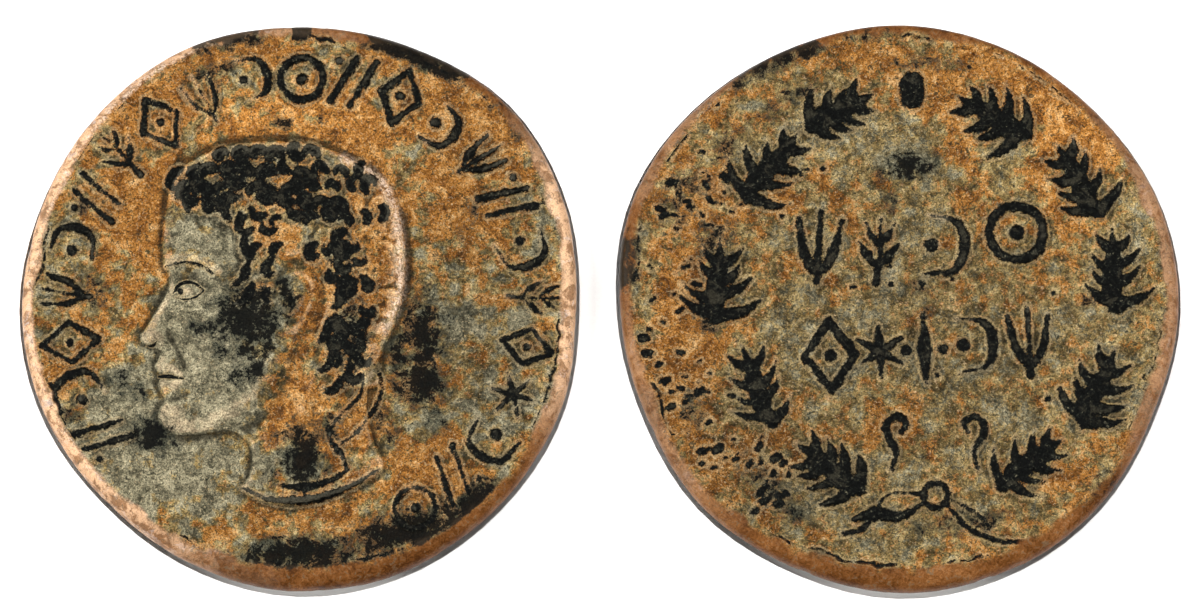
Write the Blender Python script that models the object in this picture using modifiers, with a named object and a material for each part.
"""Museum coin display tray that holds one pair of struck bronze coins, one with each face up.

A mitred hardwood frame stands on four feet. A base board is screwed up into its rebate. Inside it
lies a lift-out insert: a backing board and a white board with a window cut to each coin's own
outline. A brass holder with a sliding card is pinned to the front rail.

Metres, +Z up, +Y towards the back rail. The origin is on the surface that the feet stand on, under
the middle of the whole tray. Run with: blender --background --python part.py
"""

import math

import bmesh
import bpy
from mathutils import Matrix, Vector

MM = 0.001

# Gaps between touching pieces
JOIN_GAP = 0.1 * MM  # glued, screwed or stacked faces
LOOSE_GAP = 0.3 * MM  # pieces that lift or slide out

# Coins: ancient hand-cut blanks, so each outline is a list of radii at equal steps of angle,
# counter-clockwise from +X
COIN_THICKNESS = 2.4 * MM
COIN_EDGE_ROUND = 1.0 * MM
COIN_PITCH = 30.1 * MM
OBVERSE_RADII_MM = (14.0, 14.45, 14.8, 14.5, 14.4, 14.5, 14.25, 14.0,
                    14.0, 13.9, 13.75, 14.05, 14.4, 14.4, 14.25, 14.2)
REVERSE_RADII_MM = (14.2, 14.3, 14.25, 14.4, 14.5, 14.35, 14.4, 14.45,
                    14.0, 13.8, 14.1, 14.2, 14.5, 14.45, 14.25, 13.95)
OUTLINE_POINTS = 72

# Facets round each turned piece, and steps along each rounded edge or half-round
SCREW_STEPS = 20
PIN_STEPS = 16
FOOT_STEPS = 32
ROUND_STEPS = 4
NOTCH_STEPS = 12
SHARP_EDGE = math.radians(35)  # steeper edges than this stay crisp

# Frame
TRAY_LENGTH = 96 * MM
TRAY_DEPTH = 66 * MM
RAIL_WIDTH = 8 * MM
RAIL_HEIGHT = 11.8 * MM
RAIL_ROUND = 1.2 * MM
REBATE_WIDTH = 4 * MM
REBATE_HEIGHT = 2.4 * MM
FOOT_HEIGHT = 1.4 * MM
FOOT_RADIUS = 3.5 * MM
FOOT_CHAMFER = 0.3 * MM
BASE_THICKNESS = 2.0 * MM

# Insert
INSERT_GAP = 0.2 * MM  # under the insert, which rests on the base board
BACKING_THICKNESS = 1.4 * MM
WINDOW_BOARD_THICKNESS = 1.3 * MM
FELT_THICKNESS = 0.7 * MM
WINDOW_CLEARANCE = 0.12 * MM  # beyond the coin's widest line, which stands above the board
FELT_INSET = 0.5 * MM  # inside the coin's outline
NOTCH_RADIUS = 6 * MM  # half-round finger notch at each end

# Corner keys, across the mitres
KEY_LEG = 7 * MM
KEY_THICKNESS = 1.2 * MM
KEY_HEIGHT = 7.2 * MM  # above the resting surface

# Screws and pins
SCREW_LENGTH = 6.5 * MM
SCREW_HEAD_RADIUS = 1.4 * MM
SCREW_HEAD_HEIGHT = 0.9 * MM
SCREW_SHANK_RADIUS = 0.65 * MM
DRIVER_SLOT_WIDTH = 0.4 * MM
DRIVER_SLOT_DEPTH = 0.35 * MM
SCREW_INSET = 6 * MM  # from the frame's outer face
SCREW_SPREAD = 26 * MM  # half the distance between the screws of a long rail
PIN_SHANK_RADIUS = 0.45 * MM
PIN_HEAD_RADIUS = 1.0 * MM
PIN_HEAD_HEIGHT = 0.6 * MM
PIN_LENGTH = 5 * MM
PIN_SPREAD = 17.2 * MM

# Label holder and its card, on the front rail's outer face
HOLDER_LENGTH = 31 * MM
HOLDER_HEIGHT = 8.6 * MM
HOLDER_WALL = 0.9 * MM
EAR_LENGTH = 38 * MM
PLATE_THICKNESS = 0.4 * MM
SLOT_DEPTH = 0.6 * MM
LIP_THICKNESS = 0.5 * MM
LIP_WIDTH = 2.4 * MM
CARD_THICKNESS = 0.3 * MM
HOLDER_PROUD = JOIN_GAP + PLATE_THICKNESS + SLOT_DEPTH + LIP_THICKNESS

# Heights that follow
RAIL_BOTTOM = FOOT_HEIGHT + JOIN_GAP
RAIL_TOP = RAIL_BOTTOM + RAIL_HEIGHT
BASE_TOP = RAIL_BOTTOM + REBATE_HEIGHT - JOIN_GAP
BASE_BOTTOM = BASE_TOP - BASE_THICKNESS
BACKING_BOTTOM = BASE_TOP + INSERT_GAP
WINDOW_BOARD_BOTTOM = BACKING_BOTTOM + BACKING_THICKNESS + JOIN_GAP
COIN_BOTTOM = WINDOW_BOARD_BOTTOM + FELT_THICKNESS + JOIN_GAP
HOLDER_BOTTOM = RAIL_BOTTOM + (RAIL_HEIGHT - HOLDER_HEIGHT) / 2
INSERT_LENGTH = TRAY_LENGTH - 2 * (RAIL_WIDTH + LOOSE_GAP)
INSERT_DEPTH = TRAY_DEPTH - 2 * (RAIL_WIDTH + LOOSE_GAP)
OVERCUT = 1 * MM  # how far a cutter reaches past the face that it opens

# Colour, roughness and metallic value of each material
FINISHES = {
    "mahogany": ((0.20, 0.065, 0.03), 0.35, 0.0),
    "maple": ((0.62, 0.45, 0.27), 0.45, 0.0),
    "museum_board": ((0.90, 0.89, 0.86), 0.85, 0.0),
    "felt": ((0.86, 0.84, 0.78), 0.95, 0.0),
    "brass": ((0.78, 0.58, 0.28), 0.3, 1.0),
    "rubber": ((0.04, 0.04, 0.04), 0.7, 0.0),
    "card": ((0.88, 0.85, 0.76), 0.8, 0.0),
    "patinated_bronze": ((0.38, 0.24, 0.11), 0.6, 0.3),
}


# ---- Scene and helpers --------------------------------------------------------------------------


def clear_scene():
    for obj in list(bpy.data.objects):
        bpy.data.objects.remove(obj)


def new_collection(name, hidden=False):
    made = bpy.data.collections.new(name)
    made.hide_render = hidden
    bpy.context.scene.collection.children.link(made)
    return made


def make_material(name):
    colour, roughness, metallic = FINISHES[name]
    material = bpy.data.materials.new(name)
    material.use_nodes = True
    shader = material.node_tree.nodes["Principled BSDF"]
    shader.inputs["Base Color"].default_value = (*colour, 1.0)
    shader.inputs["Roughness"].default_value = roughness
    shader.inputs["Metallic"].default_value = metallic
    return material


clear_scene()
PARTS = new_collection("coin_display_tray")
CUTTERS = new_collection("cutters", hidden=True)
MATERIALS = {name: make_material(name) for name in FINISHES}

# The frame's middle: the label holder stands proud of the front, so it is a little behind the origin
CENTRE = bpy.data.objects.new("frame_centre", None)
CENTRE.location.y = HOLDER_PROUD / 2
PARTS.objects.link(CENTRE)


def add_part(name, mesh, material, location=(0, 0, 0), turn=0.0):
    """A named piece, placed in the frame's own coordinates."""
    obj = bpy.data.objects.new(name, mesh)
    PARTS.objects.link(obj)
    if not mesh.materials:
        mesh.materials.append(MATERIALS[material])
    obj.parent = CENTRE
    obj.location = location
    obj.rotation_euler.z = turn
    return obj


def baked(obj):
    """The object's evaluated mesh, welded, with the object itself removed."""
    graph = bpy.context.evaluated_depsgraph_get()
    mesh = bpy.data.meshes.new_from_object(obj.evaluated_get(graph))
    bpy.data.objects.remove(obj)
    work = bmesh.new()
    work.from_mesh(mesh)
    bmesh.ops.remove_doubles(work, verts=work.verts, dist=0.001 * MM)
    bmesh.ops.recalc_face_normals(work, faces=work.faces)
    work.to_mesh(mesh)
    work.free()
    return mesh


def plate_mesh(outlines, thickness, edge_round=0.0):
    """A flat plate from its outlines: the first is its edge and the others are holes.
    Its underside is at z 0. With edge_round, the edge is a full quarter round above and below."""
    curve = bpy.data.curves.new("plate", "CURVE")
    curve.dimensions = "2D"
    curve.fill_mode = "BOTH"
    curve.extrude = thickness / 2 - edge_round
    curve.bevel_depth = edge_round
    curve.bevel_resolution = 2
    curve.offset = -edge_round
    for outline in outlines:
        spline = curve.splines.new("POLY")
        spline.points.add(len(outline) - 1)
        spline.use_cyclic_u = True
        for point, (x, y) in zip(spline.points, outline):
            point.co = (x, y, 0, 1)
    obj = bpy.data.objects.new("plate", curve)
    bpy.context.scene.collection.objects.link(obj)
    mesh = baked(obj)
    mesh.transform(Matrix.Translation((0, 0, thickness / 2)))
    return mesh


def turned_mesh(profile, steps=SCREW_STEPS):
    """A shape turned about Z from (radius, height) pairs that run from its top down its outside."""
    mesh = bpy.data.meshes.new("turned")
    edges = [(i, i + 1) for i in range(len(profile) - 1)]
    mesh.from_pydata([(radius, 0, height) for radius, height in profile], edges, [])
    obj = bpy.data.objects.new("turned", mesh)
    bpy.context.scene.collection.objects.link(obj)
    screw = obj.modifiers.new("turn", "SCREW")
    screw.steps = steps
    screw.render_steps = steps
    screw.use_merge_vertices = True
    screw.merge_threshold = 0.001 * MM
    made = baked(obj)
    made.shade_smooth()
    made.set_sharp_from_angle(angle=SHARP_EDGE)
    return made


def box_mesh(size, centre):
    work = bmesh.new()
    bmesh.ops.create_cube(work, size=1.0)
    bmesh.ops.scale(work, vec=size, verts=work.verts)
    bmesh.ops.translate(work, vec=centre, verts=work.verts)
    mesh = bpy.data.meshes.new("box")
    work.to_mesh(mesh)
    work.free()
    return mesh


def cutter_from(name, meshes_and_places):
    """One cutter made of several shapes that don't meet, each a mesh and its matrix."""
    work = bmesh.new()
    for mesh, place in meshes_and_places:
        first = len(work.verts)
        work.from_mesh(mesh)
        work.verts.ensure_lookup_table()
        bmesh.ops.transform(work, matrix=place, verts=work.verts[first:])
    mesh = bpy.data.meshes.new(name)
    work.to_mesh(mesh)
    work.free()
    obj = bpy.data.objects.new(name, mesh)
    CUTTERS.objects.link(obj)
    obj.parent = CENTRE
    obj.hide_render = True
    obj.display_type = "WIRE"
    return obj


def boolean(obj, other, operation="DIFFERENCE"):
    modifier = obj.modifiers.new(f"{operation.lower()}_{other.name}", "BOOLEAN")
    modifier.operation = operation
    modifier.object = other


# ---- Coins --------------------------------------------------------------------------------------


def blank_radius(radii_mm, angle):
    """The blank's radius at an angle: a smooth closed curve through the radii (Catmull-Rom)."""
    count = len(radii_mm)
    place = angle / (2 * math.pi) * count
    first = math.floor(place)
    t = place - first
    a, b, c, d = (radii_mm[(first + k) % count] for k in (-1, 0, 1, 2))
    bend = (2 * a - 5 * b + 4 * c - d) * t * t + (3 * b - a - 3 * c + d) * t**3
    return (b + 0.5 * ((c - a) * t + bend)) * MM


def blank_outline(radii_mm, offset=0.0, centre_x=0.0):
    """Points round the blank's outline, moved outwards by offset."""
    points = []
    for k in range(OUTLINE_POINTS):
        angle = 2 * math.pi * k / OUTLINE_POINTS
        radius = blank_radius(radii_mm, angle) + offset
        points.append((centre_x + radius * math.cos(angle), radius * math.sin(angle)))
    return points


COINS = {
    "obverse": (OBVERSE_RADII_MM, -COIN_PITCH / 2),
    "reverse": (REVERSE_RADII_MM, COIN_PITCH / 2),
}


def make_coins():
    for face, (radii_mm, x) in COINS.items():
        blank = plate_mesh([blank_outline(radii_mm)], COIN_THICKNESS, COIN_EDGE_ROUND)
        blank.shade_smooth()
        blank.set_sharp_from_angle(angle=SHARP_EDGE)
        add_part(f"coin_{face}", blank, "patinated_bronze", (x, 0, COIN_BOTTOM))


# ---- Insert -------------------------------------------------------------------------------------


def insert_outline():
    """The insert's edge, with a half-round finger notch in the middle of each short side."""
    half_length, half_depth = INSERT_LENGTH / 2, INSERT_DEPTH / 2
    points = []
    for side in (1, -1):
        points.append((side * half_length, -side * half_depth))
        for k in range(NOTCH_STEPS + 1):
            angle = math.pi * k / NOTCH_STEPS
            x = half_length - NOTCH_RADIUS * math.sin(angle)
            points.append((side * x, -side * NOTCH_RADIUS * math.cos(angle)))
        points.append((side * half_length, side * half_depth))
    return points


def make_insert():
    edge = insert_outline()
    backing = plate_mesh([edge], BACKING_THICKNESS)
    add_part("backing_board", backing, "museum_board", (0, 0, BACKING_BOTTOM))
    windows = [blank_outline(radii_mm, WINDOW_CLEARANCE, x) for radii_mm, x in COINS.values()]
    board = plate_mesh([edge, *windows], WINDOW_BOARD_THICKNESS)
    add_part("window_board", board, "museum_board", (0, 0, WINDOW_BOARD_BOTTOM))
    for face, (radii_mm, x) in COINS.items():
        pad = plate_mesh([blank_outline(radii_mm, -FELT_INSET)], FELT_THICKNESS)
        add_part(f"felt_disc_{face}", pad, "felt", (x, 0, WINDOW_BOARD_BOTTOM))


# ---- Frame --------------------------------------------------------------------------------------


def rail_section():
    """The rail's section as (distance in from the outer face, height) points."""
    points = [
        (0, 0),
        (RAIL_WIDTH - REBATE_WIDTH, 0),
        (RAIL_WIDTH - REBATE_WIDTH, REBATE_HEIGHT),
        (RAIL_WIDTH, REBATE_HEIGHT),
    ]
    corners = ((RAIL_WIDTH - RAIL_ROUND, 0.0), (RAIL_ROUND, math.pi / 2))
    for across, start in corners:
        for k in range(ROUND_STEPS + 1):
            angle = start + math.pi / 2 * k / ROUND_STEPS
            height = RAIL_HEIGHT - RAIL_ROUND + RAIL_ROUND * math.sin(angle)
            points.append((across + RAIL_ROUND * math.cos(angle), height))
    return points


def rail_mesh(length):
    """A rail along X, its outer face at y 0 and its inner face at +Y, with both ends mitred."""
    mesh = plate_mesh([rail_section()], length)
    # The section was drawn in XY and extruded along Z: stand it up along X.
    lay_along_x = Matrix(((0, 0, 1, -length / 2), (1, 0, 0, 0), (0, 1, 0, 0), (0, 0, 0, 1)))
    mesh.transform(lay_along_x)
    work = bmesh.new()
    work.from_mesh(mesh)
    for end in (1, -1):
        tip = Vector((end * (length / 2 - JOIN_GAP), 0, 0))
        cut = bmesh.ops.bisect_plane(
            work,
            geom=work.verts[:] + work.edges[:] + work.faces[:],
            plane_co=tip,
            plane_no=Vector((end, 1, 0)),
            clear_outer=True,
        )
        rim = [item for item in cut["geom_cut"] if isinstance(item, bmesh.types.BMEdge)]
        bmesh.ops.contextual_create(work, geom=rim)
    bmesh.ops.recalc_face_normals(work, faces=work.faces)
    work.to_mesh(mesh)
    work.free()
    mesh.shade_smooth()
    mesh.set_sharp_from_angle(angle=SHARP_EDGE)
    return mesh


# Each rail's length, distance from the middle to its outer face, and turn about Z
RAILS = {
    "front": (TRAY_LENGTH, TRAY_DEPTH / 2, 0.0),
    "right": (TRAY_DEPTH, TRAY_LENGTH / 2, math.pi / 2),
    "back": (TRAY_LENGTH, TRAY_DEPTH / 2, math.pi),
    "left": (TRAY_DEPTH, TRAY_LENGTH / 2, -math.pi / 2),
}
CORNERS = {
    "front_left": (-1, -1),
    "front_right": (1, -1),
    "back_right": (1, 1),
    "back_left": (-1, 1),
}


def key_mesh(gap=0.0, overcut=0.0):
    """A triangular key with its square corner at the origin and its legs along +X and +Y.
    A cutter for its slot has a gap all round and reaches past the outer faces by overcut."""
    leg = KEY_LEG + gap
    outline = [(0, 0), (leg, 0), (0, leg)]
    if overcut:
        outline = [(-overcut, -overcut), (leg, -overcut), *outline[1:], (-overcut, leg)]
    mesh = plate_mesh([outline], KEY_THICKNESS + 2 * gap)
    mesh.transform(Matrix.Translation((0, 0, -gap)))
    return mesh


def key_places():
    """The name and matrix of each corner's key, with its legs along the two outer faces."""
    for name, (side_x, side_y) in CORNERS.items():
        turn = math.atan2(-side_y, -side_x) - math.pi / 4
        at_corner = Matrix.Translation((side_x * TRAY_LENGTH / 2, side_y * TRAY_DEPTH / 2, KEY_HEIGHT))
        yield name, at_corner @ Matrix.Rotation(turn, 4, "Z")


def screw_profile(gap=0.0):
    """(radius, height above the head's flat face) down the outside, from the tip to the head."""
    shank, head = SCREW_SHANK_RADIUS + gap, SCREW_HEAD_RADIUS + gap
    return [
        (0, SCREW_LENGTH + gap),
        (shank, SCREW_LENGTH - 2 * SCREW_SHANK_RADIUS + gap),
        (shank, SCREW_HEAD_HEIGHT + gap),
        (head, gap),
        (head, -OVERCUT if gap else 0),
        (0, -OVERCUT if gap else 0),
    ]


def screw_places():
    """The name and matrix of each base screw, its head's face level with the base board."""
    front, side = TRAY_DEPTH / 2 - SCREW_INSET, TRAY_LENGTH / 2 - SCREW_INSET
    spots = [(x, y) for y in (-front, front) for x in (-SCREW_SPREAD, SCREW_SPREAD)]
    spots += [(-side, 0), (side, 0)]
    for number, (x, y) in enumerate(spots, start=1):
        yield f"base_screw_{number}", Matrix.Translation((x, y, BASE_BOTTOM + JOIN_GAP))


def pin_profile(gap=0.0):
    """(radius, height above the underside of the head) from the domed head's top to the tip."""
    if gap:
        shank = PIN_SHANK_RADIUS + gap
        return [(0, OVERCUT), (shank, OVERCUT), (shank, -PIN_LENGTH - gap), (0, -PIN_LENGTH - gap)]
    dome = []
    for k in range(ROUND_STEPS + 1):
        angle = math.pi / 2 * k / ROUND_STEPS
        dome.append((PIN_HEAD_RADIUS * math.sin(angle), PIN_HEAD_HEIGHT * math.cos(angle)))
    tip = -PIN_LENGTH
    shank = PIN_SHANK_RADIUS
    return [*dome, (shank, 0), (shank, tip + 2 * shank), (0, tip)]


def pin_places():
    """The name and matrix of each label pin, driven in through the holder's ears along +Y."""
    face_y = -TRAY_DEPTH / 2 - 2 * JOIN_GAP - PLATE_THICKNESS
    height = HOLDER_BOTTOM + HOLDER_HEIGHT / 2
    point_back = Matrix.Rotation(math.pi / 2, 4, "X")
    for side, x in (("left", -PIN_SPREAD), ("right", PIN_SPREAD)):
        yield f"label_pin_{side}", Matrix.Translation((x, face_y, height)) @ point_back


def make_cutters():
    slot = key_mesh(JOIN_GAP, OVERCUT)
    key_slots = cutter_from("key_slots", [(slot, place) for _, place in key_places()])
    hole = turned_mesh(screw_profile(JOIN_GAP))
    screw_holes = cutter_from("screw_holes", [(hole, place) for _, place in screw_places()])
    bore = turned_mesh(pin_profile(JOIN_GAP), PIN_STEPS)
    pin_holes = cutter_from("pin_holes", [(bore, place) for _, place in pin_places()])
    return key_slots, screw_holes, pin_holes


def make_frame(key_slots, screw_holes, pin_holes):
    for side, (length, distance, turn) in RAILS.items():
        outwards = Matrix.Rotation(turn, 3, "Z") @ Vector((0, -distance, 0))
        place = (outwards.x, outwards.y, RAIL_BOTTOM)
        rail = add_part(f"rail_{side}", rail_mesh(length), "mahogany", place, turn)
        boolean(rail, key_slots)
        boolean(rail, screw_holes)
        if side == "front":
            boolean(rail, pin_holes)
    for name, place in key_places():
        key = add_part(f"corner_key_{name}", key_mesh(), "maple")
        key.matrix_local = place
    length = TRAY_LENGTH - 2 * (RAIL_WIDTH - REBATE_WIDTH + JOIN_GAP)
    depth = TRAY_DEPTH - 2 * (RAIL_WIDTH - REBATE_WIDTH + JOIN_GAP)
    board = box_mesh((length, depth, BASE_THICKNESS), (0, 0, BASE_THICKNESS / 2))
    base = add_part("base_board", board, "mahogany", (0, 0, BASE_BOTTOM))
    boolean(base, screw_holes)


def make_screws():
    slot_size = (4 * SCREW_HEAD_RADIUS, DRIVER_SLOT_WIDTH, 2 * DRIVER_SLOT_DEPTH)
    driver_slot = box_mesh(slot_size, (0, 0, 0))  # half of it is in the head
    slot_cutter = cutter_from("driver_slot", [(driver_slot, Matrix.Identity(4))])
    slot_cutter.parent = None
    blank = bpy.data.objects.new("screw", turned_mesh(screw_profile()))
    bpy.context.scene.collection.objects.link(blank)
    boolean(blank, slot_cutter)
    screw = baked(blank)
    for name, place in screw_places():
        add_part(name, screw, "brass").matrix_local = place


def make_feet():
    pad = turned_mesh(
        [
            (0, FOOT_HEIGHT),
            (FOOT_RADIUS, FOOT_HEIGHT),
            (FOOT_RADIUS, FOOT_CHAMFER),
            (FOOT_RADIUS - FOOT_CHAMFER, 0),
            (0, 0),
        ],
        FOOT_STEPS,
    )
    across, along = (TRAY_LENGTH - RAIL_WIDTH) / 2, (TRAY_DEPTH - RAIL_WIDTH) / 2
    for name, (side_x, side_y) in CORNERS.items():
        add_part(f"foot_{name}", pad, "rubber", (side_x * across, side_y * along, 0))


# ---- Label holder -------------------------------------------------------------------------------


def make_label(pin_holes):
    """A plate with ears, and on it a block hollowed for the card and open at the front and top."""
    back_y = -TRAY_DEPTH / 2 - JOIN_GAP
    front_y = -TRAY_DEPTH / 2 - HOLDER_PROUD
    middle_z = HOLDER_BOTTOM + HOLDER_HEIGHT / 2
    plate = box_mesh(
        (EAR_LENGTH, PLATE_THICKNESS, HOLDER_HEIGHT),
        (0, back_y - PLATE_THICKNESS / 2, middle_z),
    )
    holder = add_part("label_holder", plate, "brass")
    block = box_mesh(
        (HOLDER_LENGTH, back_y - front_y, HOLDER_HEIGHT), (0, (back_y + front_y) / 2, middle_z)
    )
    slot_length = HOLDER_LENGTH - 2 * HOLDER_WALL
    slot_y = back_y - PLATE_THICKNESS - SLOT_DEPTH / 2
    slot_height = HOLDER_HEIGHT - HOLDER_WALL + OVERCUT
    slot_bottom = HOLDER_BOTTOM + HOLDER_WALL
    card_slot = box_mesh(
        (slot_length, SLOT_DEPTH, slot_height), (0, slot_y, slot_bottom + slot_height / 2)
    )
    window_height = HOLDER_HEIGHT - LIP_WIDTH + OVERCUT
    window = box_mesh(
        (HOLDER_LENGTH - 2 * LIP_WIDTH, LIP_THICKNESS + OVERCUT + SLOT_DEPTH / 2, window_height),
        (
            0,
            front_y + (LIP_THICKNESS - OVERCUT + SLOT_DEPTH / 2) / 2,
            HOLDER_BOTTOM + LIP_WIDTH + window_height / 2,
        ),
    )
    at_rest = Matrix.Identity(4)
    boolean(holder, cutter_from("holder_block", [(block, at_rest)]), "UNION")
    boolean(holder, cutter_from("card_slot", [(card_slot, at_rest)]))
    boolean(holder, cutter_from("card_window", [(window, at_rest)]))
    boolean(holder, pin_holes)
    pin = turned_mesh(pin_profile(), PIN_STEPS)
    for name, place in pin_places():
        add_part(name, pin, "brass").matrix_local = place
    card_length = slot_length - 2 * LOOSE_GAP
    card_bottom = slot_bottom + JOIN_GAP
    card_height = HOLDER_BOTTOM + HOLDER_HEIGHT - card_bottom
    card = box_mesh(
        (card_length, CARD_THICKNESS, card_height), (0, slot_y, card_bottom + card_height / 2)
    )
    add_part("label_card", card, "card")


def main():
    key_slots, screw_holes, pin_holes = make_cutters()
    make_frame(key_slots, screw_holes, pin_holes)
    make_screws()
    make_feet()
    make_insert()
    make_coins()
    make_label(pin_holes)


main()
